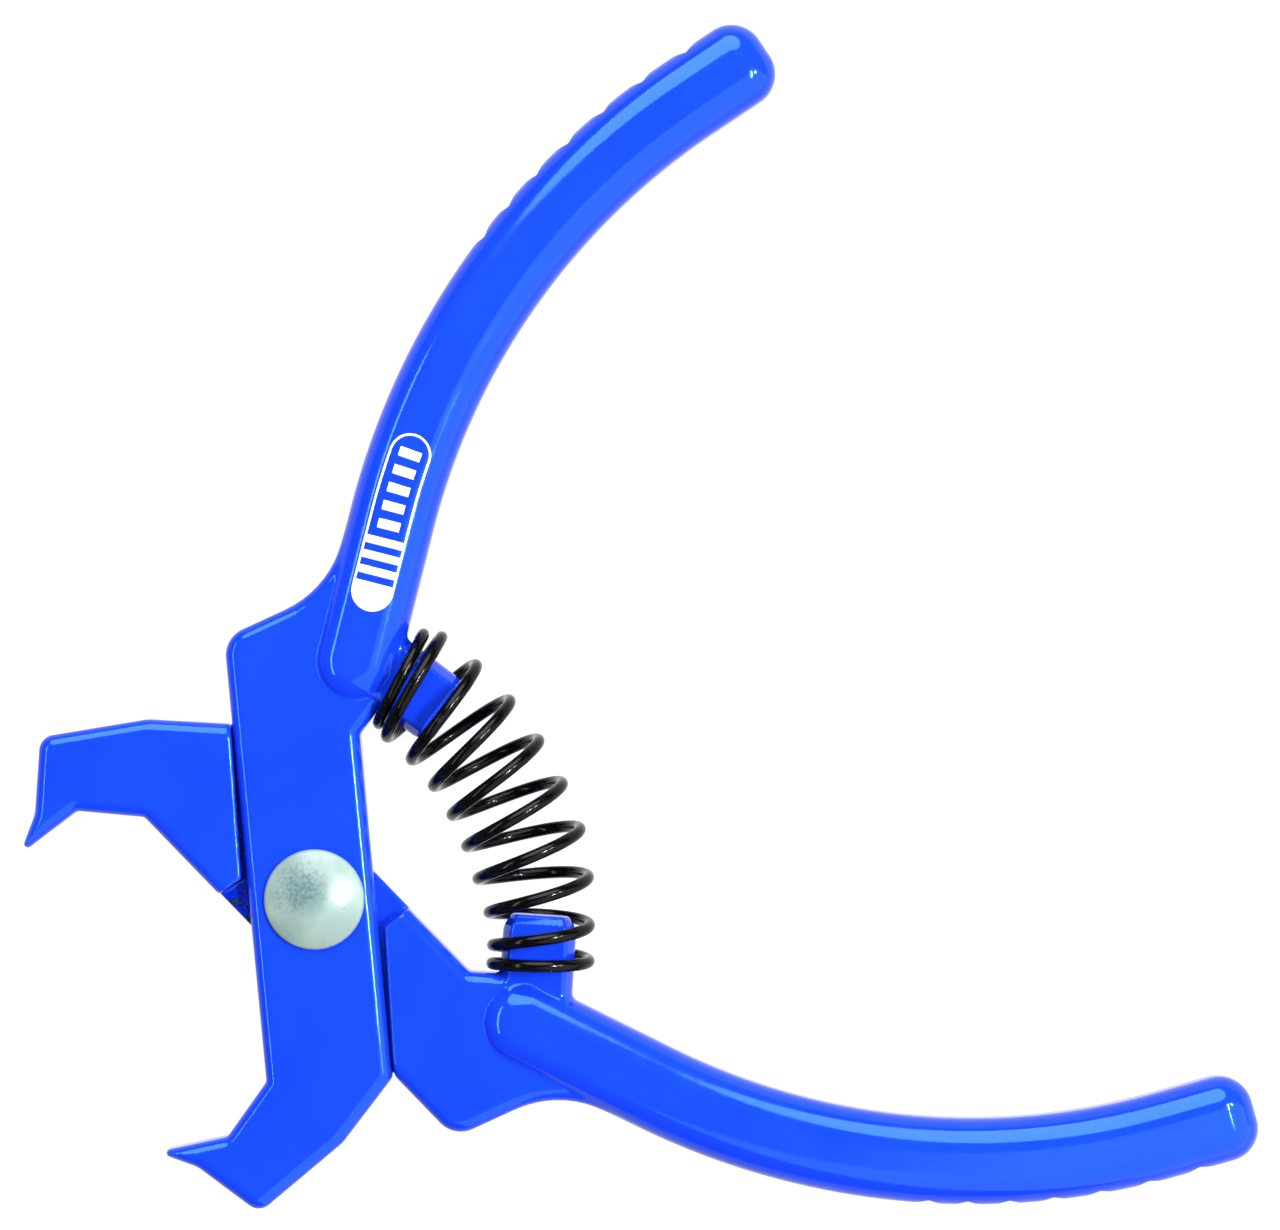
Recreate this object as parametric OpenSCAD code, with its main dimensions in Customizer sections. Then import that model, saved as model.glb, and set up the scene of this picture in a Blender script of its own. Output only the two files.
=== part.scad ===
// Spring-opened pliers with hooked jaws.
// Two identical die-cast levers cross in a lap joint on one rivet. A bowed compression spring, seated on a
// cast post of each lever, pushes the grips apart until the lap shoulders stop them.
// Frame: the tool lies flat and open. +Z is the pivot axis and the origin is on it, in the plane of the
// rivet's set tail. +X runs along the line of symmetry towards the grips, and the jaws are at -X.

/* [Head] */
// Thickness of the flat head and jaws
plate_t = 6.4; // [5.6:0.2:7.2]
// Rounding between the head and the grip that leaves it
neck_r = 13; // [6:1:14]

/* [Grip] */
// Width of the grip, seen from above
grip_w = 10.8; // [10:0.2:11.4]
// Thickness of the grip, front to back
grip_t = 10; // [9.5:0.5:12]
// Radius of the grip's rounded long edges
grip_edge_r = 4; // [2:0.25:4.5]
// Radius of the grip's curved centre line
bend_r = 89.8; // [89:0.2:92]
// Arc of the curved stretch of the grip
bend_sweep = 42; // [39:0.2:44]
// Length of the straight stretch between the bend and the nose
straight_len = 18.4; // [16.8:0.2:18.8]
// Number of thumb notches along the outer edge
notch_count = 7; // [0:1:8]
// Depth of a thumb notch
notch_depth = 0.5; // [0.2:0.05:0.8]

/* [Spring post] */
// Width of the post, in the plane of the head
post_w = 9.2; // [8:0.1:9.4]
// Thickness of the post
post_t = 6.6; // [5.8:0.1:7]
// Height of the post above the seat of the spring
post_len = 7.6; // [6:0.2:8.2]

/* [Rivet] */
// Diameter of the shank
shank_d = 6; // [5:0.25:7]
// Diameter of the domed head
rivet_head_d = 12.5; // [11:0.25:13]
// Height of the domed head
rivet_head_h = 2.5; // [2:0.1:3.2]
// Diameter of the set tail
tail_d = 9; // [8:0.25:10]
// Thickness of the washer under the set tail
washer_t = 1.4; // [0.8:0.1:1.8]
// Diameter of the washer
washer_d = 12.5; // [11:0.25:13]

/* [Return spring] */
// Diameter of the spring wire
wire_d = 1.55; // [1.3:0.05:1.6]
// Outer diameter of the open middle turns
coil_d = 15.6; // [15:0.1:16]
// Outer diameter of the closed end turns, which fit round the posts
coil_end_d = 13.6; // [13.5:0.05:14]
// Number of turns
coil_turns = 9.8; // [9:0.1:9.8]

/* [Fits] */
// Running gap of the pivot, on the shank and between the sliding faces
running_gap = 0.05; // [0.03:0.01:0.1]

/* [Hidden] */

BLUE = [0.12, 0.32, 1.0];
ZINC = [0.72, 0.73, 0.74];
SPRING_BLACK = [0.07, 0.07, 0.08];

OVERLAP = 0.01;
FAR = 100;
$fn = 96;
DEGREES_PER_STEP = 12;

// Height of the lap joint's middle plane: the coil is the deepest piece and touches the ground plane.
LAP_Z = coil_d / 2;
PLATE_FRONT_Z = LAP_Z + plate_t / 2;
PLATE_BACK_Z = LAP_Z - plate_t / 2;

// The spring's centre line is an arc, and each post points along it at this angle from the X axis.
ARC_CENTRE_X = -13.2;
ARC_R = 40.2;
POST_ANGLE = 28.5;
// The shoulder under the end turn lies this far behind the place where the post's direction is taken.
SEAT_DROP = 1.5;

// Point on the shoulder, at a distance across it from the spring's centre line
function on_seat(across) =
    [ARC_CENTRE_X, 0]
    + (ARC_R + across) * [cos(POST_ANGLE), sin(POST_ANGLE)]
    + SEAT_DROP * [-sin(POST_ANGLE), cos(POST_ANGLE)];

// Outline of a lever's head, seen from the front, with its grip towards +Y and its jaw towards -Y.
// Each corner is [x, y, rounding radius].
HEAD_OUTLINE = [
    [-15.1, -18.2, 0.8],         // inner corner between bar and jaw
    [3.3, 34.4, 3.6],            // heel of the bar, beside the grip's nose
    [17.05, 34.4, neck_r],       // runs out into the grip's outer edge
    [25, 42.4, 0],               // three corners inside the grip
    [28, 38, 0],
    [23.5, 27, 0],
    [each on_seat(1.5), 0],      // ends inside the post
    [each on_seat(-8.8), 1],     // shoulder that carries the spring
    [-0.5, -24.3, 1.2],          // outer corner between bar and jaw
    [-9.6, -29.15, 4],
    [-22.75, -32.75, 2],         // heel of the claw
    [-27.35, -24.3, 4],
    [-31.3, -20.4, 0.5],         // tip of the claw
    [-22.4, -22.4, 1]
];

// Area of the head that is cut away to half thickness, where the other lever crosses it. The two slanting
// walls at the ends of the crossing stop the levers when they are open.
LAP_AREA = [
    [5.76, -40], [-0.45, -24.1], [-7.25, -6.1], [-10.3, -5.6], [-25, -3.2], [-25, 40],
    [-6.96, 40], [-0.15, 23.9], [6.45, 6.8], [8.8, 6.2], [25, 2], [25, -40]
];

// Centre of the grip's bend, and the directions from it to the two ends of the curved stretch
BEND_CENTRE = [98.44, -17.34];
BEND_NOSE_END = 141;
BEND_TIP_END = BEND_NOSE_END - bend_sweep;
// The tip beyond the bend is a straight stretch and an end with rounded corners.
TIP_STRAIGHT = 7.1;
TIP_CORNER_R = 4.2;
// Where the notch nearest the tip lies, the step to the next one, and how much each step falls short of
// the one before, in degrees round the bend
FIRST_NOTCH = 97.4;
NOTCH_STEP = 3.95;
NOTCH_STEP_FALL = 0.2;
// Slope of a thumb notch's flanks against the grip's edge, and how far out its cut reaches
NOTCH_SLOPE = 19;
NOTCH_REACH = 1;

// The post is rooted this far back in the head and the grip.
POST_ROOT = 8;
// The post stands this far inwards of the spring's centre line, because the line bends that way beyond it.
POST_INWARDS = 0.35;
// The end of the post narrows over this length, by this much on every side, and most on its front.
POST_TAPER = 1.7;
POST_TAPER_INSET = 1;
POST_TAPER_BACKWARDS = 0.5;
// Width of the post's front face, and thickness of its sides, between the sloping corners
POST_FLAT_W = 7;
POST_SIDE_T = 2.4;

// Straight rim under the rivet's dome, facets of the dome's full circle, and chamfer on the set tail
RIVET_RIM_H = 0.5;
DOME_FN = 360;
TAIL_CHAMFER = 0.8;

// Where the centre line of the wire's first and last turn begins and ends, in degrees round the arc. The
// first turn lies flat on the rear lever's shoulder. The last one leans, and goes deeper on its outer side.
ARC_START = -29.6;
ARC_END = 31.4;
END_LEAN = 5;
LEAN_TURNS = 2.1;
// Pitch of the closed end turns, as a share of the open pitch
CLOSED_PITCH = 0.3;
// Turns at the [rear, front] end that stay closed, and turns over which the pitch then opens
PITCH_HOLD = [0, 1.1];
PITCH_RAMP = [2, 0.4];
// Turns at the [rear, front] end that keep the end diameter, and turns over which it then grows
BARREL_HOLD = [1.5, 0.3];
BARREL_RAMP = [2.2, 0.8];
WIRE_START_ANGLE = 108;
WIRE_SIDES = 8;
RINGS_PER_TURN = 16;

function unit(v) = v / norm(v);

// Points of one rounded corner between its neighbours
function corner(before, here, after) =
    here[2] == 0 ? [[here[0], here[1]]] :
    let (
        point = [here[0], here[1]],
        to_before = unit([before[0], before[1]] - point),
        to_after = unit([after[0], after[1]] - point),
        half_angle = acos(to_before * to_after) / 2,
        centre = point + unit(to_before + to_after) * here[2] / sin(half_angle),
        from_dir = point + to_before * here[2] / tan(half_angle) - centre,
        to_dir = point + to_after * here[2] / tan(half_angle) - centre,
        start = atan2(from_dir[1], from_dir[0]),
        turn = atan2(cross(from_dir, to_dir), from_dir * to_dir),
        steps = max(2, ceil(abs(turn) / DEGREES_PER_STEP))
    )
    [for (i = [0 : steps])
        let (a = start + turn * i / steps)
        centre + here[2] * [cos(a), sin(a)]];

function rounded(outline) = [
    for (i = [0 : len(outline) - 1])
        each corner(
            outline[(i + len(outline) - 1) % len(outline)],
            outline[i],
            outline[(i + 1) % len(outline)]
        )
];

// Cross-section of the grip: x across the grip, y through its thickness
module grip_section() {
    polygon(rounded([
        for (side = [[1, 1], [-1, 1], [-1, -1], [1, -1]])
            [side[0] * grip_w / 2, side[1] * grip_t / 2, grip_edge_r]
    ]));
}

// Straight stretch of grip along +Y
module grip_bar(length) {
    rotate([90, 0, 180])
        linear_extrude(length) grip_section();
}

// Profile of a rounded end, from the axis of its corner outwards
module end_profile(corner_r) {
    intersection() {
        translate([corner_r - grip_w / 2, 0]) grip_section();
        translate([0, -FAR / 2]) square(FAR);
    }
}

// End of the grip, along +Y from y = 0, whose two corners are rounded in plan
module grip_end(corner_r) {
    flat = grip_w / 2 - corner_r;
    for (side = [0, 1])
        mirror([side, 0])
            translate([flat, 0])
                rotate_extrude(angle = 90) end_profile(corner_r);
    if (flat > 0)
        translate([-flat, 0])
            rotate([90, 0, 90])
                linear_extrude(2 * flat) end_profile(corner_r);
}

// Direction from the bend's centre to a thumb notch: the notches lie a little closer towards the nose
function notch_angle(i) = FIRST_NOTCH + i * (NOTCH_STEP - NOTCH_STEP_FALL * (i - 1) / 2);

// Wedge that cuts one thumb notch into the grip's edge along Y
module thumb_notch() {
    reach_along = (notch_depth + NOTCH_REACH) / tan(NOTCH_SLOPE);
    linear_extrude(FAR, center = true)
        polygon([[-notch_depth, 0], [NOTCH_REACH, -reach_along], [NOTCH_REACH, reach_along]]);
}

module grip() {
    difference() {
        union() {
            translate(BEND_CENTRE)
                rotate([0, 0, BEND_TIP_END])
                    rotate_extrude(angle = bend_sweep)
                        translate([bend_r, 0]) grip_section();
            translate(BEND_CENTRE)
                rotate([0, 0, BEND_TIP_END])
                    translate([bend_r, 0])
                        rotate([0, 0, 180]) {
                            grip_bar(TIP_STRAIGHT);
                            translate([0, TIP_STRAIGHT]) grip_end(TIP_CORNER_R);
                        }
            translate(BEND_CENTRE)
                rotate([0, 0, BEND_NOSE_END])
                    translate([bend_r, 0]) {
                        grip_bar(straight_len);
                        translate([0, straight_len]) grip_end(grip_w / 2);
                    }
        }
        for (i = [0 : 1 : notch_count - 1])
            translate(BEND_CENTRE)
                rotate([0, 0, notch_angle(i)])
                    translate([bend_r + grip_w / 2, 0]) thumb_notch();
    }
}

// Eight-sided outline of the post, smaller by inset all round
module post_section(inset) {
    flat_x = POST_FLAT_W / 2 - inset / 2;
    side_x = post_w / 2 - inset;
    flat_y = post_t / 2 - inset;
    side_y = POST_SIDE_T / 2 - inset / 2;
    polygon([
        [side_x, side_y], [flat_x, flat_y], [-flat_x, flat_y], [-side_x, side_y],
        [-side_x, -side_y], [-flat_x, -flat_y], [flat_x, -flat_y], [side_x, -side_y]
    ]);
}

// Cast post that centres the end of the spring, standing on the shoulder of the head
module spring_post() {
    top = post_len - SEAT_DROP;
    at_post()
        rotate([90, 0, 0]) {
            translate([0, 0, -POST_ROOT])
                linear_extrude(POST_ROOT + top - POST_TAPER) post_section(0);
            hull() {
                translate([0, 0, top - POST_TAPER - OVERLAP])
                    linear_extrude(OVERLAP) post_section(0);
                translate([0, -POST_TAPER_BACKWARDS, top - OVERLAP])
                    linear_extrude(OVERLAP) post_section(POST_TAPER_INSET);
            }
        }
}

// Moves the origin to the post, with -Y towards its end
module at_post() {
    translate([ARC_CENTRE_X, 0])
        rotate([0, 0, POST_ANGLE])
            translate([ARC_R - POST_INWARDS, 0]) children();
}

// One lever casting, with its lap joint's middle plane at z = 0. The second lever is the same casting
// turned over about the X axis.
module lever_casting() {
    difference() {
        union() {
            linear_extrude(plate_t, center = true) polygon(rounded(HEAD_OUTLINE));
            grip();
            spring_post();
        }
        translate([0, 0, running_gap - FAR])
            linear_extrude(FAR) polygon(LAP_AREA);
        cylinder(h = FAR, d = shank_d + 2 * running_gap, center = true);
    }
}

module front_lever() {
    color(BLUE)
        translate([0, 0, LAP_Z]) lever_casting();
}

module rear_lever() {
    color(BLUE)
        translate([0, 0, LAP_Z])
            rotate([180, 0, 0]) lever_casting();
}

// Domed head, shank and set tail, in one piece
module pivot_rivet() {
    head_z = PLATE_FRONT_Z + running_gap;
    dome_h = rivet_head_h - RIVET_RIM_H;
    dome_r = (rivet_head_d * rivet_head_d / 4 + dome_h * dome_h) / (2 * dome_h);
    tail_top_z = PLATE_BACK_Z - washer_t;
    color(ZINC) {
        translate([0, 0, head_z]) {
            cylinder(h = RIVET_RIM_H, d = rivet_head_d);
            rotate_extrude()
                intersection() {
                    translate([0, RIVET_RIM_H + dome_h - dome_r]) circle(r = dome_r, $fn = DOME_FN);
                    translate([0, RIVET_RIM_H]) square([rivet_head_d, dome_h]);
                }
        }
        cylinder(h = head_z + OVERLAP, d = shank_d);
        rotate_extrude()
            polygon([
                [0, 0],
                [tail_d / 2 - TAIL_CHAMFER, 0],
                [tail_d / 2, TAIL_CHAMFER],
                [tail_d / 2, tail_top_z],
                [0, tail_top_z]
            ]);
    }
}

module rivet_washer() {
    color(ZINC)
        translate([0, 0, PLATE_BACK_Z - washer_t])
            difference() {
                cylinder(h = washer_t, d = washer_d);
                cylinder(h = FAR, d = shank_d, center = true);
            }
}

// Turns from an end of the coil: 0 is the rear end and 1 the front end
function turns_from(end, t) = end == 0 ? t : coil_turns - t;

// Rises smoothly from 0 to 1 as u does
function eased(u) = u <= 0 ? 0 : u >= 1 ? 1 : u * u * (3 - 2 * u);

// Sum of eased(u / ramp) over the turns since the pitch began to open
function opened(turns, ramp) =
    let (u = max(0, min(turns / ramp, 1)))
    ramp * (u * u * u - u * u * u * u / 2) + max(turns - ramp, 0);

// Open turns' worth of climb between an end of the coil and t
function climb_from(end, t) =
    let (turns = turns_from(end, t))
    CLOSED_PITCH * turns + (1 - CLOSED_PITCH) * opened(turns - PITCH_HOLD[end], PITCH_RAMP[end]);

// Share of the centre line's length that is climbed after t turns
function climb(t) =
    let (whole = climb_from(0, coil_turns / 2) + climb_from(1, coil_turns / 2))
    t < coil_turns / 2 ? climb_from(0, t) / whole : 1 - climb_from(1, t) / whole;

// Outer diameter of the coil after t turns
function outer_d(t) =
    coil_end_d + (coil_d - coil_end_d) * min([
        for (end = [0, 1]) eased((turns_from(end, t) - BARREL_HOLD[end]) / BARREL_RAMP[end])
    ]);

// Point on the surface of the wire after t turns, at an angle round the wire's own section
function wire_point(t, section_angle) =
    let (
        arc_angle = ARC_START + (ARC_END - ARC_START) * climb(t),
        facing = arc_angle + END_LEAN * (1 - eased(turns_from(1, t) / LEAN_TURNS)),
        wind = WIRE_START_ANGLE + 360 * t,
        from_axis = (outer_d(t) - wire_d) / 2 + wire_d / 2 * cos(section_angle),
        along = wire_d / 2 * sin(section_angle),
        out = from_axis * cos(wind)
    )
    [
        ARC_CENTRE_X + ARC_R * cos(arc_angle) + out * cos(facing) - along * sin(facing),
        ARC_R * sin(arc_angle) + out * sin(facing) + along * cos(facing),
        LAP_Z - from_axis * sin(wind)
    ];

// Bowed compression spring with closed end turns
module return_spring() {
    rings = ceil(coil_turns * RINGS_PER_TURN);
    color(SPRING_BLACK)
        polyhedron(
            points = [
                for (ring = [0 : rings], side = [0 : WIRE_SIDES - 1])
                    wire_point(coil_turns * ring / rings, 360 * side / WIRE_SIDES)
            ],
            faces = [
                [for (side = [WIRE_SIDES - 1 : -1 : 0]) side],
                for (ring = [0 : rings - 1], side = [0 : WIRE_SIDES - 1])
                    let (
                        here = ring * WIRE_SIDES + side,
                        beside = ring * WIRE_SIDES + (side + 1) % WIRE_SIDES
                    )
                    each [
                        [here, beside, here + WIRE_SIDES],
                        [beside, beside + WIRE_SIDES, here + WIRE_SIDES]
                    ],
                [for (side = [0 : WIRE_SIDES - 1]) rings * WIRE_SIDES + side]
            ]
        );
}

front_lever();
rear_lever();
pivot_rivet();
rivet_washer();
return_spring();
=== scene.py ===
"""The looks of the spring-opened hooked-jaw pliers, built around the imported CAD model.

Each lever is meshed from one signed distance field of the casting, so its edges are rounded and its grip,
plate and post run into each other with fillets, as a die casting's do. The spring is a round swept wire,
and the rivet and washer are turned profiles. Lengths here are in millimetres unless a name ends in _m.
"""

import math

import bpy
import numpy as np
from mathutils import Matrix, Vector


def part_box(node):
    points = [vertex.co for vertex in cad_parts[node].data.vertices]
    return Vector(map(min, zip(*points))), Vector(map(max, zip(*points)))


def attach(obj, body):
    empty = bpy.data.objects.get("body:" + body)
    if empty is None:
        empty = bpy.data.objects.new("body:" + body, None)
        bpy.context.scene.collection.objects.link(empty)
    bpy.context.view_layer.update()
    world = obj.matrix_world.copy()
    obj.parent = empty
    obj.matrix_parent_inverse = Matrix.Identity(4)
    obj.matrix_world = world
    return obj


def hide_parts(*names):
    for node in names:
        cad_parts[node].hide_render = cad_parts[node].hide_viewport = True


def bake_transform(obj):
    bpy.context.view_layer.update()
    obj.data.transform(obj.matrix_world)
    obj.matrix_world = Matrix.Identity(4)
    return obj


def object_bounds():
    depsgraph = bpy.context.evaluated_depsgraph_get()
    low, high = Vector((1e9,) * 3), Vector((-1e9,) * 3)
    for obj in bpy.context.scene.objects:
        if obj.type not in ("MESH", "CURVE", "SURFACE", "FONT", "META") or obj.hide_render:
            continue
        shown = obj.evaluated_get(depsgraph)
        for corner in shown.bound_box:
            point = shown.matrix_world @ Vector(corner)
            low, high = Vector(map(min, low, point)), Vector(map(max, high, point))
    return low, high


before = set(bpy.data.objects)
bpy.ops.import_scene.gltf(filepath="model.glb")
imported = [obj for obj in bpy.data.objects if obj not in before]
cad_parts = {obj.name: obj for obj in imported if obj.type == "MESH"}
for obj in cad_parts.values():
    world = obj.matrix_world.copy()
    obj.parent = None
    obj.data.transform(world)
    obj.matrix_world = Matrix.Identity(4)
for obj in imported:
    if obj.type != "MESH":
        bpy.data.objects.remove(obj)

MM = 0.001
CAD_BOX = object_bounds()


def top_of(node):
    """Highest z of a CAD node, in millimetres."""
    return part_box(node)[1].z / MM


# The frame: the tool lies flat, +Z is the pivot's axis, and the levers cross at half the coil's diameter.
COIL_D = 15.6
LAP_Z = COIL_D / 2
PLATE_HALF = 3.2
RUNNING_GAP = 0.05
SHANK_R = 3.0

# Grip: width and thickness of its section, and the path of its centre line
GRIP_HALF_W = 5.4
GRIP_HALF_T = 5.0
GRIP_EDGE_R = 4.0
BEND_CENTRE = np.array([98.44, -17.34])
BEND_R = 89.8
BEND_NOSE_END = 141.0
BEND_SWEEP = 42.0
BEND_TIP_END = BEND_NOSE_END - BEND_SWEEP
STRAIGHT_LEN = 18.4
TIP_STRAIGHT = 7.1
TIP_CORNER_R = 4.2
NOTCH_COUNT = 7
FIRST_NOTCH = 97.4
NOTCH_STEP = 3.95
NOTCH_STEP_FALL = 0.2
NOTCH_DEPTH = 0.5
NOTCH_SLOPE = 19.0

# Spring's centre line, and the post that each of its ends sits on
ARC_CENTRE_X = -13.2
ARC_R = 40.2
POST_ANGLE = 28.5
SEAT_DROP = 1.5
POST_INWARDS = 0.35
POST_TOP = 6.1
POST_ROOT = 8.0
POST_HALF_W = 4.6
POST_HALF_T = 3.3
POST_CORNER = (3.5, 1.2)
POST_TAPER = 1.7
POST_TAPER_INSET = 1.0
POST_TAPER_BACKWARDS = 0.5

# Rounding of the casting
PLATE_EDGE_R = 1.6
GRIP_FILLET = 0.3
POST_FILLET = 0.7
NOTCH_FILLET = 0.15
POST_EDGE = 0.35
CUT_EDGE = 0.45


def at_angle(degrees):
    a = math.radians(degrees)
    return np.array([math.cos(a), math.sin(a)])


def on_seat(across):
    """Point on the shoulder under the spring, at a distance across it from the post's axis."""
    along = at_angle(POST_ANGLE + 90)
    return np.array([ARC_CENTRE_X, 0]) + (ARC_R + across) * at_angle(POST_ANGLE) + SEAT_DROP * along


# Outline of a lever's head, with its grip towards +Y and its jaw towards -Y: [x, y, rounding radius]
HEAD_OUTLINE = [
    [-15.1, -18.2, 0.8],
    [3.3, 34.4, 3.6],
    [17.05, 34.4, 13],
    [25, 42.4, 0],
    [28, 38, 0],
    [23.5, 27, 0],
    [*on_seat(1.5), 0],
    [*on_seat(-8.8), 1],
    [-0.5, -24.3, 1.2],
    [-9.6, -29.15, 4],
    [-22.75, -32.75, 2],
    [-27.35, -24.3, 4],
    [-31.3, -20.4, 0.5],
    [-22.4, -22.4, 1],
]

# Area of the head that is cut away to half thickness, where the other lever crosses it
LAP_AREA = [
    [5.76, -40], [-0.45, -24.1], [-7.25, -6.1], [-10.3, -5.6], [-25, -3.2], [-25, 40],
    [-6.96, 40], [-0.15, 23.9], [6.45, 6.8], [8.8, 6.2], [25, 2], [25, -40],
]


# ---------------------------------------------------------------- distance fields

def rounded(outline, degrees_per_step=6):
    """Points of an outline whose corners are rounded to the radius that each gives."""
    points = []
    for i, (x, y, radius) in enumerate(outline):
        here = np.array([x, y])
        if radius == 0:
            points.append(here)
            continue
        to_before = np.array(outline[i - 1][:2]) - here
        to_after = np.array(outline[(i + 1) % len(outline)][:2]) - here
        to_before /= np.linalg.norm(to_before)
        to_after /= np.linalg.norm(to_after)
        half = math.acos(to_before @ to_after) / 2
        middle = (to_before + to_after) / np.linalg.norm(to_before + to_after)
        centre = here + middle * radius / math.sin(half)
        first = here + to_before * radius / math.tan(half) - centre
        last = here + to_after * radius / math.tan(half) - centre
        start = math.atan2(first[1], first[0])
        turn = math.atan2(first[0] * last[1] - first[1] * last[0], first @ last)
        steps = max(2, math.ceil(abs(math.degrees(turn)) / degrees_per_step))
        for k in range(steps + 1):
            a = start + turn * k / steps
            points.append(centre + radius * np.array([math.cos(a), math.sin(a)]))
    return np.array(points)


def polygon_distance(points, x, y):
    """Signed distance from a closed polygon's edge, below zero inside."""
    nearest = np.full(np.shape(x), np.inf)
    inside = np.zeros(np.shape(x), bool)
    for (ax, ay), (bx, by) in zip(points, np.roll(points, -1, axis=0)):
        ex, ey = bx - ax, by - ay
        px, py = x - ax, y - ay
        share = np.clip((px * ex + py * ey) / (ex * ex + ey * ey), 0, 1)
        nearest = np.minimum(nearest, (px - ex * share) ** 2 + (py - ey * share) ** 2)
        if ey != 0:
            crosses = (ay > y) != (by > y)
            inside ^= crosses & (x < ax + ex * (y - ay) / ey)
    return np.where(inside, -1, 1) * np.sqrt(nearest)


def smooth_min(a, b, width):
    """Smaller of two distances, with a fillet where they meet."""
    near = np.maximum(width - np.abs(a - b), 0) / width
    return np.minimum(a, b) - near * near * width / 4


def smooth_max(a, b, width):
    return -smooth_min(-a, -b, width)


def rounded_corner(a, b, radius):
    """Distance from a solid bounded by a and b, whose common edge is rounded."""
    inner_a, inner_b = a + radius, b + radius
    outside = np.hypot(np.maximum(inner_a, 0), np.maximum(inner_b, 0))
    return outside + np.minimum(np.maximum(inner_a, inner_b), 0) - radius


def grip_across(x, y):
    """Distance from the grip's centre line in plan, measured so that both ends round off."""
    px, py = x - BEND_CENTRE[0], y - BEND_CENTRE[1]
    angle = np.degrees(np.arctan2(py, px))
    in_bend = np.abs(np.hypot(px, py) - BEND_R)

    out = at_angle(BEND_NOSE_END)
    along = at_angle(BEND_NOSE_END + 90)
    forward = px * along[0] + py * along[1]
    sideways = px * out[0] + py * out[1] - BEND_R
    nose = np.hypot(sideways, np.maximum(forward - STRAIGHT_LEN, 0))

    out = at_angle(BEND_TIP_END)
    along = at_angle(BEND_TIP_END - 90)
    beyond = px * along[0] + py * along[1] - TIP_STRAIGHT
    sideways = np.abs(px * out[0] + py * out[1] - BEND_R)
    flat = GRIP_HALF_W - TIP_CORNER_R
    corner = flat + np.hypot(np.maximum(sideways - flat, 0), np.maximum(beyond, 0))
    tip = np.where(beyond > 0, corner, sideways)

    return np.where(angle > BEND_NOSE_END, nose, np.where(angle < BEND_TIP_END, tip, in_bend))


def notch_distance(x, y):
    """Distance from the nearest of the wedges that cut the thumb notches."""
    nearest = np.full(np.shape(x), np.inf)
    px, py = x - BEND_CENTRE[0], y - BEND_CENTRE[1]
    flank = at_angle(NOTCH_SLOPE)
    for i in range(NOTCH_COUNT):
        angle = FIRST_NOTCH + i * (NOTCH_STEP - NOTCH_STEP_FALL * (i - 1) / 2)
        out = at_angle(angle)
        along = at_angle(angle + 90)
        rise = px * out[0] + py * out[1] - (BEND_R + GRIP_HALF_W - NOTCH_DEPTH)
        run = np.abs(px * along[0] + py * along[1])
        nearest = np.minimum(nearest, run * flank[1] - rise * flank[0])
    return nearest


def plan_fields(x, y):
    """Everything about the casting that depends on the plan alone."""
    post_out = at_angle(POST_ANGLE)
    post_along = at_angle(POST_ANGLE - 90)
    from_arc = x - ARC_CENTRE_X
    return {
        "plate": polygon_distance(HEAD_POINTS, x, y),
        "lap": polygon_distance(LAP_POINTS, x, y),
        "grip": grip_across(x, y),
        "notch": notch_distance(x, y),
        "bore": SHANK_R + RUNNING_GAP - np.hypot(x, y),
        "post_side": np.abs(from_arc * post_out[0] + y * post_out[1] - (ARC_R - POST_INWARDS)),
        "post_up": from_arc * post_along[0] + y * post_along[1],
    }


def post_distance(side, up, z):
    """Distance from the eight-sided post, which narrows at its end, and most on its front."""
    along_taper = np.clip((up - (POST_TOP - POST_TAPER)) / POST_TAPER, 0, 1)
    z = np.abs(z + POST_TAPER_BACKWARDS * along_taper)
    corner = np.array([POST_HALF_T - POST_CORNER[1], POST_HALF_W - POST_CORNER[0]])
    corner /= np.linalg.norm(corner)
    slanted = side * corner[0] + z * corner[1] - (POST_HALF_W * corner[0] + POST_CORNER[1] * corner[1])
    section = smooth_max(side - POST_HALF_W, z - POST_HALF_T, POST_EDGE)
    section = smooth_max(section, slanted, POST_EDGE)
    slope = POST_TAPER_INSET / POST_TAPER
    tapered = (section + slope * (up - (POST_TOP - POST_TAPER))) / math.hypot(1, slope)
    body = smooth_max(section, tapered, POST_EDGE)
    body = smooth_max(body, up - POST_TOP, POST_EDGE)
    return np.maximum(body, -POST_ROOT - up)


def casting_distance(plan, z):
    """Signed distance from a lever's surface. z is measured from the lap joint's middle plane."""
    height = np.abs(z)
    plate = rounded_corner(plan["plate"], height - PLATE_HALF, PLATE_EDGE_R)
    grip = rounded_corner(plan["grip"] - GRIP_HALF_W, height - GRIP_HALF_T, GRIP_EDGE_R)
    grip = smooth_max(grip, -plan["notch"], NOTCH_FILLET)
    post = post_distance(plan["post_side"], plan["post_up"], z)
    solid = smooth_min(plate, grip, GRIP_FILLET)
    solid = smooth_min(solid, post, POST_FILLET)
    cut = smooth_max(plan["lap"], z - RUNNING_GAP, CUT_EDGE)
    solid = smooth_max(solid, -cut, CUT_EDGE)
    return smooth_max(solid, plan["bore"], CUT_EDGE)


def casting_at(points):
    return casting_distance(plan_fields(points[:, 0], points[:, 1]), points[:, 2])


HEAD_POINTS = rounded(HEAD_OUTLINE)
LAP_POINTS = np.array(LAP_AREA, float)


# ---------------------------------------------------------------- meshing

CELL_CORNERS = np.array([[i, j, k] for i in (0, 1) for j in (0, 1) for k in (0, 1)])
CELL_EDGES = [
    (a, b)
    for a in range(8)
    for b in range(a + 1, 8)
    if np.abs(CELL_CORNERS[a] - CELL_CORNERS[b]).sum() == 1
]


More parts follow.
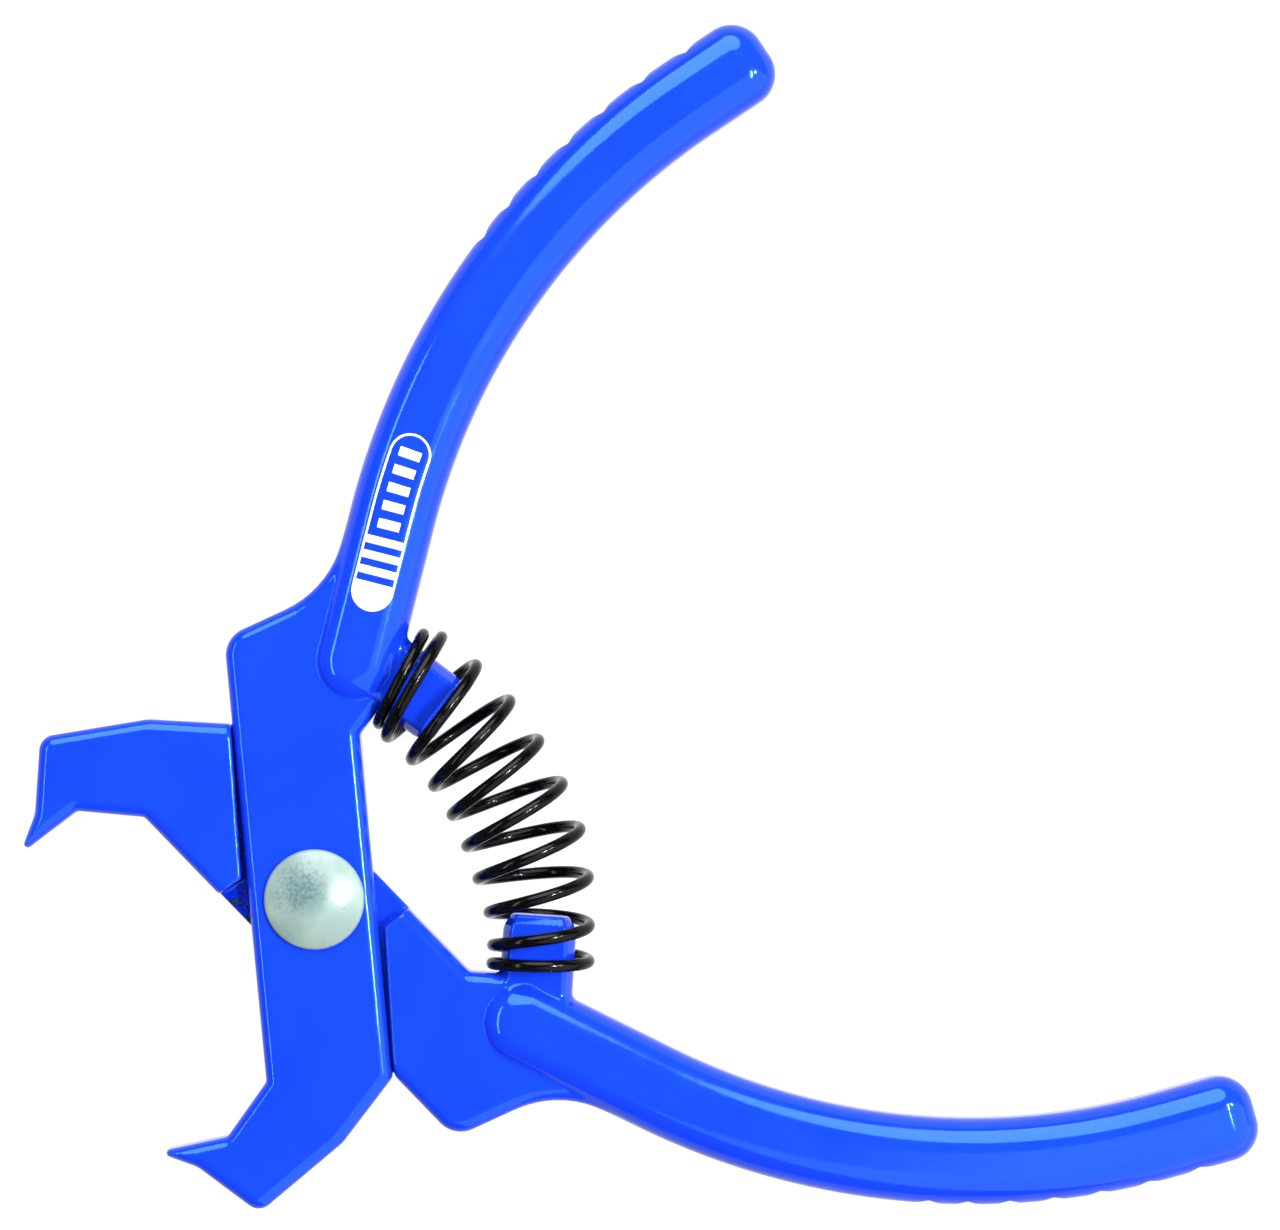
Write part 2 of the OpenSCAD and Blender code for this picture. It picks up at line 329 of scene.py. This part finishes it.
def surface_nets(values, origin, step):
    """Vertices and quads of the surface where a field on a regular grid is zero."""
    inside = values < 0
    cells = tuple(n - 1 for n in values.shape)
    count = np.zeros(cells, np.int8)
    for i, j, k in CELL_CORNERS:
        count += inside[i:i + cells[0], j:j + cells[1], k:k + cells[2]]
    active = np.argwhere((count > 0) & (count < 8))
    number = np.full(cells, -1, np.int32)
    number[tuple(active.T)] = np.arange(len(active))

    corner_values = np.stack([values[tuple((active + c).T)] for c in CELL_CORNERS], axis=1)
    total = np.zeros((len(active), 3))
    crossings = np.zeros((len(active), 1))
    for a, b in CELL_EDGES:
        va, vb = corner_values[:, a], corner_values[:, b]
        crossed = (va < 0) != (vb < 0)
        share = np.where(crossed, va / np.where(crossed, va - vb, 1), 0)[:, None]
        point = CELL_CORNERS[a] + share * (CELL_CORNERS[b] - CELL_CORNERS[a])
        total += point * crossed[:, None]
        crossings += crossed[:, None]
    vertices = origin + step * (active + total / crossings)

    quads = []
    for axis in range(3):
        u, v = (axis + 1) % 3, (axis + 2) % 3
        here = [slice(1, -1)] * 3
        here[axis] = slice(0, -1)
        there = list(here)
        there[axis] = slice(1, None)
        differs = inside[tuple(here)] != inside[tuple(there)]
        edges = np.argwhere(differs)
        leaving = inside[tuple(here)][tuple(edges.T)]
        base = edges + 1
        base[:, axis] -= 1
        ring = []
        for du, dv in ((-1, -1), (0, -1), (0, 0), (-1, 0)):
            cell = base.copy()
            cell[:, u] += du
            cell[:, v] += dv
            ring.append(number[tuple(cell.T)])
        ring = np.stack(ring, axis=1)
        quads.append(np.where(leaving[:, None], ring, ring[:, ::-1]))
    return vertices, np.concatenate(quads)


def gradient(field, points, step=0.03):
    """Slope of a field at some points, by central differences."""
    slopes = []
    for axis in range(3):
        offset = np.zeros(3)
        offset[axis] = step
        slopes.append((field(points + offset) - field(points - offset)) / (2 * step))
    return np.stack(slopes, axis=1)


def on_surface(field, points, passes=3):
    """Moves points along the field's slope until they lie on its surface."""
    for _ in range(passes):
        slope = gradient(field, points)
        square = np.maximum((slope * slope).sum(axis=1), 0.05)
        points = points - slope * (field(points) / square)[:, None]
    return points


def mesh_object(name, vertices, faces, material, normals=None, attributes=None):
    """A smooth-shaded mesh object from points in millimetres."""
    mesh = bpy.data.meshes.new(name)
    mesh.from_pydata((np.asarray(vertices) * MM).tolist(), [], [list(face) for face in faces])
    mesh.polygons.foreach_set("use_smooth", np.ones(len(mesh.polygons), bool))
    for key, values in (attributes or {}).items():
        attribute = mesh.attributes.new(key, "FLOAT", "POINT")
        attribute.data.foreach_set("value", np.asarray(values, np.float32))
    mesh.materials.append(material)
    mesh.update()
    if normals is not None:
        mesh.normals_split_custom_set_from_vertices(normals.tolist())
    obj = bpy.data.objects.new(name, mesh)
    bpy.context.scene.collection.objects.link(obj)
    return obj


GRID = 0.35
GRID_MARGIN = 1.1
CASTING_LOW = np.array([-31.5, -33.0, -GRIP_HALF_T]) - GRID_MARGIN
CASTING_HIGH = np.array([96.0, 78.0, GRIP_HALF_T]) + GRID_MARGIN
# How deep the surface is probed to find its edges, and how far outside it the lap's own faces may lie
EDGE_PROBE = 0.5
LAP_REACH = 0.1
LAP_TOP = 0.5


def casting_mesh():
    """Vertices, quads, normals and wear masks of one lever, in its own frame."""
    axes = [np.arange(low, high, GRID) for low, high in zip(CASTING_LOW, CASTING_HIGH)]
    x, y = np.meshgrid(axes[0], axes[1], indexing="ij")
    plan = {key: value[:, :, None] for key, value in plan_fields(x, y).items()}
    values = casting_distance(plan, axes[2][None, None, :])
    vertices, quads = surface_nets(values, CASTING_LOW, GRID)
    vertices = on_surface(casting_at, vertices)
    slope = gradient(casting_at, vertices)
    normals = slope / np.linalg.norm(slope, axis=1)[:, None]

    # An edge stands proud of the surface round it: a point a little inside it is nearer to the outside.
    bulge = (casting_at(vertices - EDGE_PROBE * normals) + EDGE_PROBE) / EDGE_PROBE
    plan = plan_fields(vertices[:, 0], vertices[:, 1])
    in_lap = (plan["lap"] < LAP_REACH) & (vertices[:, 2] < LAP_TOP)
    masks = {
        "edge": np.clip(bulge, -1, 1),
        "lap_face": in_lap.astype(float),
    }
    return vertices, quads, normals, masks


# ---------------------------------------------------------------- materials

class Nodes:
    """Short names for building one material's node tree."""

    def __init__(self, name):
        self.material = bpy.data.materials.new(name)
        self.material.use_nodes = True
        self.tree = self.material.node_tree
        self.shader = self.tree.nodes["Principled BSDF"]
        self.place = self.tree.nodes.new("ShaderNodeTexCoord").outputs["Object"]

    def put(self, target, value):
        if isinstance(value, bpy.types.NodeSocket):
            self.tree.links.new(value, target)
        else:
            target.default_value = value

    def set(self, **inputs):
        for name, value in inputs.items():
            self.put(self.shader.inputs[name.replace("_", " ")], value)

    def noise(self, scale, detail=3.0, roughness=0.5, stretch=None):
        """Noise over the object, with scale in features per metre."""
        place = self.place
        if stretch is not None:
            mapping = self.tree.nodes.new("ShaderNodeMapping")
            mapping.inputs["Scale"].default_value = stretch[:3]
            mapping.inputs["Rotation"].default_value[2] = stretch[3]
            self.put(mapping.inputs["Vector"], self.place)
            place = mapping.outputs["Vector"]
        node = self.tree.nodes.new("ShaderNodeTexNoise")
        self.put(node.inputs["Vector"], place)
        node.inputs["Scale"].default_value = scale
        node.inputs["Detail"].default_value = detail
        node.inputs["Roughness"].default_value = roughness
        return node.outputs["Fac"]

    def spread(self, value, from_low, from_high, to_low=0.0, to_high=1.0):
        """Value stretched from one range to another, and held inside it."""
        node = self.tree.nodes.new("ShaderNodeMapRange")
        node.interpolation_type = "SMOOTHSTEP"
        numbers = {"Value": value, "From Min": from_low, "From Max": from_high,
                   "To Min": to_low, "To Max": to_high}
        for key, number in numbers.items():
            self.put(node.inputs[key], number)
        return node.outputs["Result"]

    def math(self, operation, a, b=0.0):
        node = self.tree.nodes.new("ShaderNodeMath")
        node.operation = operation
        self.put(node.inputs[0], a)
        self.put(node.inputs[1], b)
        return node.outputs[0]

    def mix(self, share, a, b):
        """Colour a where share is 0 and colour b where it is 1."""
        node = self.tree.nodes.new("ShaderNodeMix")
        node.data_type = "RGBA"
        self.put(node.inputs[0], share)
        self.put(node.inputs[6], a)
        self.put(node.inputs[7], b)
        return node.outputs[2]

    def attribute(self, name):
        node = self.tree.nodes.new("ShaderNodeAttribute")
        node.attribute_name = name
        return node.outputs["Fac"]

    def bump(self, height, distance_mm, strength=1.0, under=None):
        node = self.tree.nodes.new("ShaderNodeBump")
        node.inputs["Strength"].default_value = strength
        node.inputs["Distance"].default_value = distance_mm * MM
        self.put(node.inputs["Height"], height)
        if under is not None:
            self.put(node.inputs["Normal"], under)
        return node.outputs["Normal"]

    def axis(self, index):
        """One coordinate of the place on the object, in metres."""
        node = self.tree.nodes.new("ShaderNodeSeparateXYZ")
        self.put(node.inputs[0], self.place)
        return node.outputs[index]


def enamel_material():
    """Blue stove enamel over a casting: glossy, a little wavy, thin and pale on its edges."""
    n = Nodes("blue_enamel")
    blue = (0.0024, 0.0187, 0.38, 1)
    cooler = (0.0021, 0.0165, 0.35, 1)
    thin = (0.007, 0.033, 0.45, 1)
    # Darker blue that paints shade into the lap's pocket on the jaw side
    lap_painted_shade_blue = (0.0, 0.003, 0.26, 1)
    bare = (0.0005, 0.001, 0.020, 1)
    cloudy = n.spread(n.noise(90, 4), 0.35, 0.7)
    colour = n.mix(cloudy, blue, cooler)
    colour = n.mix(n.spread(n.attribute("edge"), 0.2, 0.75, 0.0, 0.7), colour, thin)
    lap = n.attribute("lap_face")
    # On the jaw side the lap face is painted a darker blue as painted shade in its pocket, and its paint is
    # broken through in patches.
    jaw_lap_shade_and_wear = n.math("MULTIPLY", lap, n.spread(n.axis(0), -5 * MM, -1 * MM, 1.0, 0.0))
    # Painted shade: the jaw side of the lap face is mixed towards the darker blue.
    colour = n.mix(n.math("MULTIPLY", jaw_lap_shade_and_wear, 0.8), colour, lap_painted_shade_blue)
    broken = n.math("MULTIPLY", jaw_lap_shade_and_wear, n.spread(n.noise(620, 5, 0.65), 0.54, 0.60))
    colour = n.mix(broken, colour, bare)
    scratches = n.spread(n.noise(110, 2, 0.5, stretch=(1.0, 24.0, 1.0, 0.7)), 0.70, 0.75)
    roughness = n.spread(n.noise(150, 5), 0.3, 0.7, 0.08, 0.13)
    roughness = n.math("ADD", roughness, n.math("MULTIPLY", scratches, 0.05))
    roughness = n.math("ADD", roughness, n.math("MULTIPLY", broken, 0.4))
    normal = n.bump(n.noise(260, 2), 0.015)
    normal = n.bump(n.noise(2600, 3), 0.002, under=normal)
    normal = n.bump(broken, 0.15, under=normal)
    n.set(Base_Color=colour, Roughness=roughness, Normal=normal)
    n.set(IOR=1.37, Specular_Tint=(0.3, 0.95, 1.0, 1))
    return n.material


def wire_material():
    """Black-finished spring wire, with drawing marks along it and rubbed spots."""
    n = Nodes("black_spring_wire")
    fine = n.noise(1500, 4)
    black = (0.0003, 0.0003, 0.0004, 1)
    drawn = (0.002, 0.0022, 0.0024, 1)
    bright = (0.02, 0.02, 0.022, 1)
    colour = n.mix(n.spread(fine, 0.55, 0.75), black, drawn)
    rubbed = n.spread(n.noise(420, 4), 0.66, 0.74)
    colour = n.mix(n.math("MULTIPLY", rubbed, 0.3), colour, bright)
    roughness = n.spread(n.noise(900, 3), 0.3, 0.7, 0.12, 0.18)
    n.set(Base_Color=colour, Roughness=roughness, Normal=n.bump(fine, 0.003))
    n.set(IOR=1.19)
    return n.material


def zinc_material():
    """Dull plated steel of the rivet: pale, finely grained, with a dark scuffed patch beside the crown."""
    n = Nodes("plated_rivet_steel")
    fine = n.noise(2400, 4, 0.6)
    cloud = n.noise(260, 4)
    pale = (0.132, 0.183, 0.167, 1)
    grey = (0.106, 0.154, 0.141, 1)
    scuffed = (0.034, 0.066, 0.072, 1)
    pitted = (0.07, 0.075, 0.065, 1)
    colour = n.mix(n.spread(cloud, 0.35, 0.65), pale, grey)
    # The patch lies beside the crown, on the side towards the upper jaw.
    patch_x, patch_y = -0.7, 2.1
    dx = n.math("SUBTRACT", n.axis(0), patch_x * MM)
    dy = n.math("SUBTRACT", n.axis(1), patch_y * MM)
    apart = n.math("SQRT", n.math("ADD", n.math("MULTIPLY", dx, dx), n.math("MULTIPLY", dy, dy)))
    ragged = n.math("ADD", apart, n.math("MULTIPLY", n.noise(420, 6, 0.7), 4.0 * MM))
    patch = n.spread(ragged, 3.2 * MM, 6.8 * MM, 1.0, 0.0)
    speckle = n.spread(fine, 0.40, 0.62, 0.55, 1.0)
    colour = n.mix(n.math("MULTIPLY", patch, speckle), colour, scuffed)
    pits = n.spread(n.noise(1300, 2), 0.70, 0.76)
    colour = n.mix(n.math("MULTIPLY", pits, 0.6), colour, pitted)
    roughness = n.spread(fine, 0.3, 0.7, 0.28, 0.40)
    normal = n.bump(fine, 0.012)
    normal = n.bump(n.noise(420, 3), 0.006, under=normal)
    n.set(Base_Color=colour, Metallic=0.05, IOR=1.36, Roughness=roughness, Normal=normal)
    return n.material


def print_material():
    """White pad-printed ink, slightly thin in places."""
    n = Nodes("white_print")
    ink = (0.42, 0.42, 0.43, 1)
    enamel_through = (0.15, 0.20, 0.36, 1)
    worn = n.spread(n.noise(1200, 4), 0.62, 0.78, 0.0, 0.25)
    colour = n.mix(worn, ink, enamel_through)
    n.set(Base_Color=colour, Roughness=0.35, Normal=n.bump(n.noise(900, 2), 0.004))
    return n.material


def floor_material():
    n = Nodes("pale_floor")
    darker = (0.085, 0.085, 0.085, 1)
    lighter = (0.095, 0.095, 0.095, 1)
    colour = n.mix(n.noise(3, 2), darker, lighter)
    n.set(Base_Color=colour, Roughness=0.9, Specular_IOR_Level=0.1)
    n.set(Emission_Color=(1, 1, 1, 1), Emission_Strength=FLOOR_GLOW)
    return n.material


# ---------------------------------------------------------------- pieces

def lever_pieces(material):
    """The two levers: one casting, and the same casting turned over about the X axis."""
    vertices, quads, normals, masks = casting_mesh()
    centre = np.array([0, 0, LAP_Z])
    turned_over = np.array([1, -1, -1])
    for name, body, node, turn in (
        ("front_lever_casting", "front_half", "front_lever", np.ones(3)),
        ("rear_lever_casting", "rear_half", "rear_lever", turned_over),
    ):
        lever = mesh_object(name, vertices * turn + centre, quads, material, normals * turn, masks)
        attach(lever, body)
        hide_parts(node)


def turned(name, profile, material, segments=128):
    """A solid of revolution about the pivot. The profile is [radius, z], from axis to axis or all round."""
    vertices = []
    rings = []
    for radius, z in profile:
        count = 1 if radius == 0 else segments
        rings.append(list(range(len(vertices), len(vertices) + count)))
        for i in range(count):
            a = 2 * math.pi * i / segments
            vertices.append((radius * math.cos(a), radius * math.sin(a), z))
    if profile[0][0] > 0:
        rings.append(rings[0])
    faces = []
    for lower, upper in zip(rings, rings[1:]):
        for i in range(segments):
            k = (i + 1) % segments
            if len(lower) == 1:
                faces.append([lower[0], upper[k], upper[i]])
            elif len(upper) == 1:
                faces.append([lower[i], lower[k], upper[0]])
            else:
                faces.append([lower[i], lower[k], upper[k], upper[i]])
    return mesh_object(name, vertices, faces, material)


def rounding(corner_r, corner_z, radius, from_angle, to_angle, steps=8):
    """Points of a profile on a small arc round (corner_r, corner_z)."""
    return [
        (corner_r + radius * math.cos(a), corner_z + radius * math.sin(a))
        for a in np.radians(np.linspace(from_angle, to_angle, steps + 1))
    ]


# Rivet and washer: the same sizes as the CAD ones, with softer edges
RIVET_HEAD_R = 6.25
RIVET_RIM_H = 0.5
RIVET_RIM_EDGE = 0.25
RIVET_DOME_INSET = 0.08
TAIL_R = 4.5
TAIL_EDGE = 0.9
# Hollow that the setting tool left in the middle of the tail: radius of its floor and of its edge, and depth
TAIL_MARK_FLOOR_R = 1.4
TAIL_MARK_R = 1.8
TAIL_MARK_DEPTH = 0.25
TAIL_LOWEST = 0.05
WASHER_T = 1.4
WASHER_R = 6.25
WASHER_ROLLED_EDGE = 0.35
WASHER_SHARP_EDGE = 0.1


def rivet_piece(material):
    """Set tail with its tool mark, shank, and domed head with a soft rim."""
    head_top = top_of("pivot_rivet")
    head_z = LAP_Z + PLATE_HALF + RUNNING_GAP
    tail_z = LAP_Z - PLATE_HALF - WASHER_T
    dome_h = head_top - (head_z + RIVET_RIM_H)
    dome_r = (RIVET_HEAD_R ** 2 + dome_h ** 2) / (2 * dome_h)
    profile = [(0, TAIL_MARK_DEPTH), (TAIL_MARK_FLOOR_R, TAIL_MARK_DEPTH), (TAIL_MARK_R, TAIL_LOWEST)]
    profile += rounding(TAIL_R - TAIL_EDGE, TAIL_EDGE, TAIL_EDGE, -90, 0)
    profile += [(TAIL_R, tail_z), (SHANK_R, tail_z), (SHANK_R, head_z)]
    profile += rounding(RIVET_HEAD_R - RIVET_RIM_EDGE, head_z + RIVET_RIM_EDGE, RIVET_RIM_EDGE, -90, 0)
    edge_angle = math.asin((RIVET_HEAD_R - RIVET_DOME_INSET) / dome_r)
    for a in np.linspace(edge_angle, 0, 25)[:-1]:
        profile.append((dome_r * math.sin(a), head_top - dome_r + dome_r * math.cos(a)))
    profile.append((0, head_top))
    rivet = turned("pivot_rivet_turned", profile, material)
    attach(rivet, "rear_half")
    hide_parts("pivot_rivet")


def washer_piece(material):
    """Punched washer under the set tail: one edge rolled over by the punch, the other nearly sharp."""
    low, high = (corner.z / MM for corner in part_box("rivet_washer"))
    rolled, sharp = WASHER_ROLLED_EDGE, WASHER_SHARP_EDGE
    profile = [(SHANK_R, high)]
    profile += rounding(SHANK_R + sharp, low + sharp, sharp, 180, 270, 3)
    profile += rounding(WASHER_R - rolled, low + rolled, rolled, -90, 0)
    profile += rounding(WASHER_R - sharp, high - sharp, sharp, 0, 90, 3)
    washer = turned("rivet_washer_punched", profile, material)
    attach(washer, "rear_half")
    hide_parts("rivet_washer")


# Spring: the same wire as the CAD one, round and finer
WIRE_R = 0.775
COIL_END_D = 13.6
COIL_TURNS = 9.8
ARC_START = -29.6
ARC_END = 31.4
END_LEAN = 5.0
LEAN_TURNS = 2.1
CLOSED_PITCH = 0.3
WIRE_START_ANGLE = 108.0
WIRE_SIDES = 24
RINGS_PER_TURN = 48
WIRE_END_BURR = 0.12
REAR, FRONT = 0, 1
PITCH_HOLD = {REAR: 0.0, FRONT: 1.1}
PITCH_RAMP = {REAR: 2.0, FRONT: 0.4}
BARREL_HOLD = {REAR: 1.5, FRONT: 0.3}
BARREL_RAMP = {REAR: 2.2, FRONT: 0.8}


def turns_from(end, t):
    return t if end == REAR else COIL_TURNS - t


def eased(u):
    """Rises smoothly from 0 to 1 as u does."""
    u = np.clip(u, 0, 1)
    return u * u * (3 - 2 * u)


def opened(end, t):
    """Turns' worth of pitch that has opened between an end of the coil and t."""
    turns = turns_from(end, t) - PITCH_HOLD[end]
    u = np.clip(turns / PITCH_RAMP[end], 0, 1)
    return PITCH_RAMP[end] * (u ** 3 - u ** 4 / 2) + np.maximum(turns - PITCH_RAMP[end], 0)


def share_climbed(t, closed_pitch):
    """Share that is climbed after t turns, where the closed turns climb this much of an open turn."""
    def climbed(end, place):
        return closed_pitch * turns_from(end, place) + (1 - closed_pitch) * opened(end, place)
    middle = COIL_TURNS / 2
    whole = climbed(REAR, middle) + climbed(FRONT, middle)
    return np.where(t < middle, climbed(REAR, t) / whole, 1 - climbed(FRONT, t) / whole)


def wire_ring(t, radius):
    """One ring of points round the wire after t turns."""
    section = 2 * np.pi * np.arange(WIRE_SIDES) / WIRE_SIDES
    arc = math.radians(ARC_START + (ARC_END - ARC_START) * share_climbed(t, CLOSED_PITCH))
    facing = arc + math.radians(END_LEAN) * (1 - eased(turns_from(FRONT, t) / LEAN_TURNS))
    wind = math.radians(WIRE_START_ANGLE + 360 * t)
    grown = min(eased((turns_from(end, t) - BARREL_HOLD[end]) / BARREL_RAMP[end]) for end in (REAR, FRONT))
    outer_d = COIL_END_D + (COIL_D - COIL_END_D) * grown
    from_axis = outer_d / 2 - WIRE_R + radius * np.cos(section)
    along = radius * np.sin(section)
    out = from_axis * math.cos(wind)
    return np.stack([
        ARC_CENTRE_X + ARC_R * math.cos(arc) + out * math.cos(facing) - along * math.sin(facing),
        ARC_R * math.sin(arc) + out * math.sin(facing) + along * math.cos(facing),
        LAP_Z - from_axis * math.sin(wind),
    ], axis=1)


def spring_piece(material):
    """Bowed compression spring, swept as a round wire along its turns."""
    turns = np.linspace(0, COIL_TURNS, round(COIL_TURNS * RINGS_PER_TURN) + 1)
    radii = np.full(len(turns), WIRE_R)
    radii[[0, -1]] -= WIRE_END_BURR
    vertices = np.concatenate([wire_ring(t, r) for t, r in zip(turns, radii)])
    side = np.arange(WIRE_SIDES)
    beside = (side + 1) % WIRE_SIDES
    faces = [list(side)]
    for ring in range(len(turns) - 1):
        here = ring * WIRE_SIDES
        above = here + WIRE_SIDES
        faces += np.stack([here + side, above + side, above + beside, here + beside], axis=1).tolist()
    faces.append(list((len(turns) - 1) * WIRE_SIDES + side[::-1]))
    spring = mesh_object("return_spring_wire", vertices, faces, material)
    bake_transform(spring)
    # Each ring of the wire gets one weight, from the share of the climb made where the pitch is open.
    weights = np.repeat(share_climbed(turns, closed_pitch=0), WIRE_SIDES).astype(np.float32)
    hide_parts("return_spring")


# Generic printed mark on the front of the grip: plain bars inside a round-ended frame
MARK_HALF_L = 11.4
MARK_HALF_H = 2.65
MARK_LINE = 0.28
# Half the height inside the frame that ink fills; the hairline left keeps each inked place a skin of its own
MARK_FILL = MARK_HALF_H - MARK_LINE - 0.01
MARK_MIDDLE = 0.6
# Each bar's middle along the mark, its width, and half its height
SMALL_BARS = [(-8.8 + 2.3 * i, 1.2, 1.4) for i in range(5)]
FULL_BARS = [(2.6 + 1.9 * i, 1.0, MARK_FILL) for i in range(3)]
END_PATCH_START = 7.8
INK = 0.03


def grip_front(along, across):
    """Point on the front of the grip, from the place along its centre line and the distance across it."""
    out = at_angle(BEND_NOSE_END)
    forward = at_angle(BEND_NOSE_END + 90)
    if along >= 0:
        x, y = BEND_CENTRE + (BEND_R + across) * out + along * forward
    else:
        x, y = BEND_CENTRE + (BEND_R + across) * at_angle(BEND_NOSE_END + math.degrees(along / BEND_R))
    over_edge = max(abs(across) - (GRIP_HALF_W - GRIP_EDGE_R), 0)
    z = LAP_Z + GRIP_HALF_T - GRIP_EDGE_R + math.sqrt(GRIP_EDGE_R ** 2 - over_edge ** 2)
    return np.array([x, y, z])


def frame_strip():
    """Grid of places (along, across) along the closed line of the mark's frame."""
    straight = MARK_HALF_L - MARK_HALF_H
    spine = []
    for end in (1, -1):
        for along in np.linspace(-straight, straight, 25)[1:-1] * end:
            spine.append((along, 0.0, float(end)))
        for a in np.radians(np.linspace(90, -90, 25) if end == 1 else np.linspace(-90, -270, 25)):
            spine.append((end * straight, math.cos(a), math.sin(a)))
    radii = np.linspace(MARK_HALF_H - MARK_LINE, MARK_HALF_H, 3)
    return np.array([[(along + radius * c, radius * k) for radius in radii] for along, c, k in spine])


def bar_patch(middle, width, half_height):
    """Grid of places (along, across) over one bar."""
    return np.array([
        [(middle + along, across) for along in np.linspace(-width / 2, width / 2, 5)]
        for across in np.linspace(half_height, -half_height, 17)
    ])


def end_patch():
    """Grid of places (along, across) over the mark's round end, from a straight line to the frame."""
    straight = MARK_HALF_L - MARK_HALF_H
    grid = []
    for across in MARK_FILL * np.sin(np.radians(np.linspace(90, -90, 25))):
        end = straight + math.sqrt(max(MARK_FILL ** 2 - across ** 2, 0))
        grid.append([(along, across) for along in np.linspace(END_PATCH_START, end, 9)])
    return np.array(grid)


def ink_skin(grid, closed, first):
    """Points and faces of a thin closed skin over a grid of places. A closed grid's rows run in a ring."""
    rows, columns = grid.shape[:2]
    layer = rows * columns
    surface = [grip_front(MARK_MIDDLE + along, across) for along, across in grid.reshape(-1, 2)]
    points = [point + [0, 0, lift] for lift in (INK, -INK) for point in surface]
    row_pairs = [(row, (row + 1) % rows) for row in range(rows if closed else rows - 1)]
    faces = []
    for row, beyond in row_pairs:
        for column in range(columns - 1):
            quad = [row * columns + column, row * columns + column + 1,
                    beyond * columns + column + 1, beyond * columns + column]
            faces += [quad, [i + layer for i in reversed(quad)]]
    rim = [(beyond * columns, row * columns) for row, beyond in row_pairs]
    rim += [(row * columns + columns - 1, beyond * columns + columns - 1) for row, beyond in row_pairs]
    if not closed:
        rim += [(column, column + 1) for column in range(columns - 1)]
        rim += [(layer - column - 1, layer - column - 2) for column in range(columns - 1)]
    faces += [[b, a, a + layer, b + layer] for a, b in rim]
    return points, [[first + i for i in face] for face in faces]


def marking_piece(material):
    """The printed mark, as a thin skin of ink on the grip."""
    vertices = []
    faces = []
    grids = [(frame_strip(), True), (end_patch(), False)]
    grids += [(bar_patch(*bar), False) for bar in SMALL_BARS + FULL_BARS]
    for grid, closed in grids:
        points, patch_faces = ink_skin(grid, closed, len(vertices))
        vertices += points
        faces += patch_faces
    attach(mesh_object("grip_marking", vertices, faces, material), "front_half")


# ---------------------------------------------------------------- camera, floor and light

# The view is straight down, turned so that the line of symmetry points up and to the right.
VIEW_TURN = -24.75
VIEW_CENTRE = (51.7, 15.2)
VIEW_WIDTH = 160.0
VIEW_HEIGHT_Z = 9.0
LENS = 150.0
SENSOR = 36.0
FLOOR_GLOW = 0.94
WORLD_LEVEL = 0.35


def make_camera():
    data = bpy.data.cameras.new("camera")
    data.lens = LENS
    data.sensor_width = SENSOR
    camera = bpy.data.objects.new("camera", data)
    distance = VIEW_WIDTH * LENS / SENSOR
    camera.location = (VIEW_CENTRE[0] * MM, VIEW_CENTRE[1] * MM, (VIEW_HEIGHT_Z + distance) * MM)
    camera.rotation_euler = (0, 0, math.radians(VIEW_TURN))
    bpy.context.scene.collection.objects.link(camera)
    bpy.context.scene.camera = camera


def make_floor():
    size_m = 6.0
    mesh = bpy.data.meshes.new("floor")
    corners = [(-size_m, -size_m, 0), (size_m, -size_m, 0), (size_m, size_m, 0), (-size_m, size_m, 0)]
    mesh.from_pydata(corners, [], [[0, 1, 2, 3]])
    mesh.materials.append(floor_material())
    floor = bpy.data.objects.new("floor", mesh)
    floor.location = (0, 0, CAD_BOX[0].z)
    bpy.context.scene.collection.objects.link(floor)


def make_panel(name, bearing, tilt, size_m, radiance, shape="RECTANGLE"):
    """A soft light panel. The bearing is anticlockwise from the picture's right, and the tilt is from
    straight up. Its width lies across the bearing."""
    distance_m = 0.55
    data = bpy.data.lights.new(name, "AREA")
    data.shape = shape
    data.size, data.size_y = size_m
    data.energy = radiance * math.pi * size_m[0] * size_m[1]
    light = bpy.data.objects.new(name, data)
    flat = at_angle(bearing + VIEW_TURN)
    lean = math.radians(tilt)
    away = Vector((flat[0] * math.sin(lean), flat[1] * math.sin(lean), math.cos(lean)))
    centre = Vector((VIEW_CENTRE[0] * MM, VIEW_CENTRE[1] * MM, LAP_Z * MM))
    light.location = centre + away * distance_m
    light.rotation_euler = away.to_track_quat("Z", "Y").to_euler()
    light.visible_camera = False
    bpy.context.scene.collection.objects.link(light)


def make_lights():
    make_panel("key_panel", bearing=95.5, tilt=50, size_m=(0.58, 0.58), radiance=8.0, shape="ELLIPSE")
    make_panel("left_strip", bearing=180, tilt=50, size_m=(0.50, 0.05), radiance=20.0)
    make_panel("fill_panel", bearing=325, tilt=51, size_m=(1.0, 0.92), radiance=2.4)
    make_panel("small_lamp", bearing=15, tilt=43.5, size_m=(0.06, 0.035), radiance=300.0)
    make_panel("edge_lamp", bearing=5.5, tilt=30, size_m=(0.17, 0.006), radiance=1800.0)
    world = bpy.data.worlds.new("studio")
    world.use_nodes = True
    world.node_tree.nodes["Background"].inputs["Color"].default_value = (1, 1, 1, 1)
    world.node_tree.nodes["Background"].inputs["Strength"].default_value = WORLD_LEVEL
    bpy.context.scene.world = world
    bpy.context.scene.view_settings.view_transform = "Standard"


lever_pieces(enamel_material())
rivet_steel = zinc_material()
rivet_piece(rivet_steel)
washer_piece(rivet_steel)
spring_piece(wire_material())
marking_piece(print_material())
make_camera()
make_floor()
make_lights()
